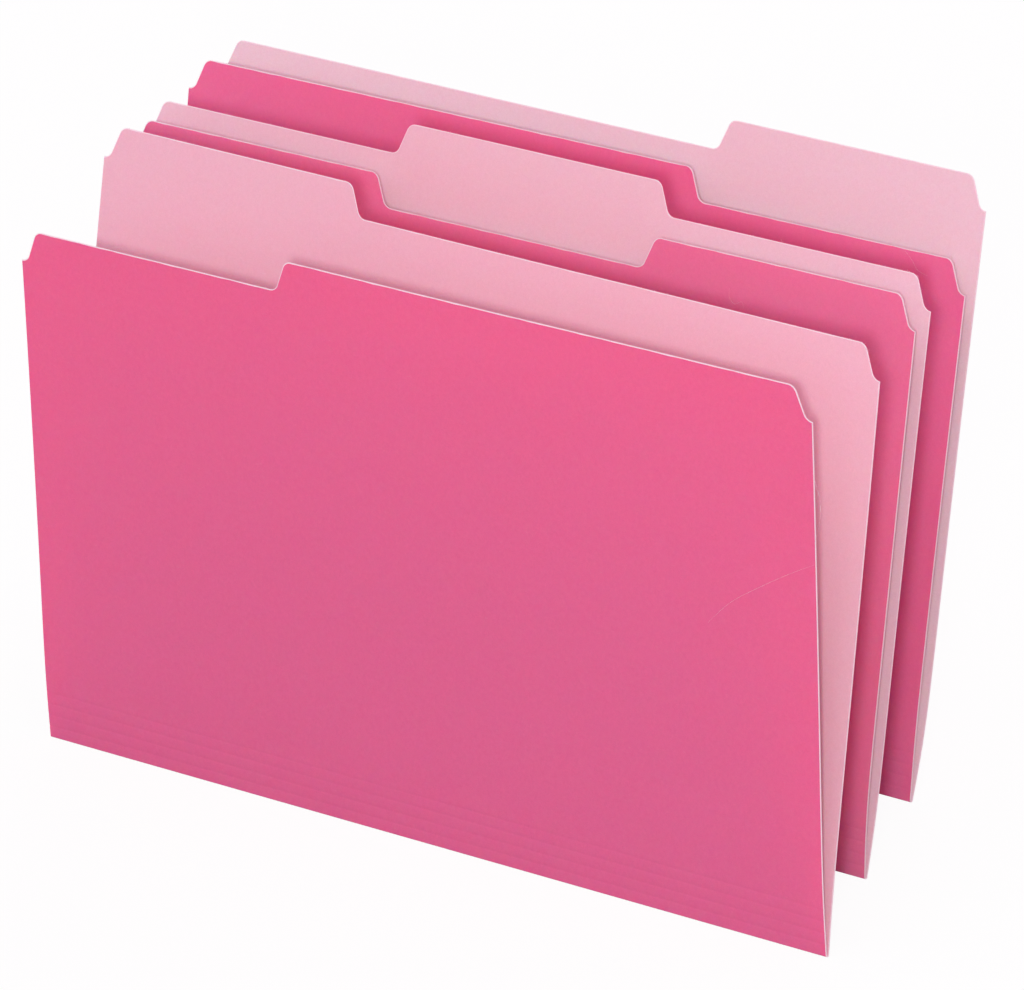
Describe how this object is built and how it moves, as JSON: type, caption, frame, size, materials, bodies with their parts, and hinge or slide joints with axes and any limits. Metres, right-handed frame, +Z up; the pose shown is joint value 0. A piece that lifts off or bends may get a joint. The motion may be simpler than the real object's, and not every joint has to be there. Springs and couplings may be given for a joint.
{
  "type": "file folder set",
  "caption": "Tabbed card file folders for legal-size papers, standing on their folds in a staggered row, with covers that open like a V.",
  "frame": {"origin": "on the surface that the folders stand on, under the middle of the whole set's box", "axes": "+X along the folds, towards the right end as seen from the front; +Y towards the back folder; +Z up"},
  "size_m": [0.4462, 0.2112, 0.2392],
  "materials": {
    "dark_side": "matte",
    "light_side": "matte"
  },
  "bodies": {
    "front_folder_base": {"front_folder_fold": "dark_side", "front_folder_back_cover": "light_side"},
    "front_folder_cover": {"front_folder_front_cover": "dark_side"},
    "middle_folder_base": {"middle_folder_fold": "dark_side", "middle_folder_back_cover": "light_side"},
    "middle_folder_cover": {"middle_folder_front_cover": "dark_side"},
    "rear_folder_base": {"rear_folder_fold": "dark_side", "rear_folder_back_cover": "light_side"},
    "rear_folder_cover": {"rear_folder_front_cover": "dark_side"}
  },
  "joints": [
    {"name": "front_folder_open", "type": "hinge", "parent": "front_folder_base", "child": "front_folder_cover", "pos_m": [0.03575, -0.08955, 0.00227], "axis": [1, 0, 0], "range_deg": [-9, 81]},
    {"name": "middle_folder_slide", "type": "slide", "parent": "front_folder_base", "child": "middle_folder_base", "axis": [1, 0, 0], "range_m": [-0.38, 0.38]},
    {"name": "middle_folder_open", "type": "hinge", "parent": "middle_folder_base", "child": "middle_folder_cover", "pos_m": [-0.00075, -0.01648, 0.00234], "axis": [1, 0, 0], "range_deg": [-2, 15.5]},
    {"name": "rear_folder_slide", "type": "slide", "parent": "front_folder_base", "child": "rear_folder_base", "axis": [1, 0, 0], "range_m": [-0.38, 0.38]},
    {"name": "rear_folder_open", "type": "hinge", "parent": "rear_folder_base", "child": "rear_folder_cover", "pos_m": [-0.03575, 0.05962, 0.00234], "axis": [1, 0, 0], "range_deg": [-1.5, 16.5]}
  ]
}
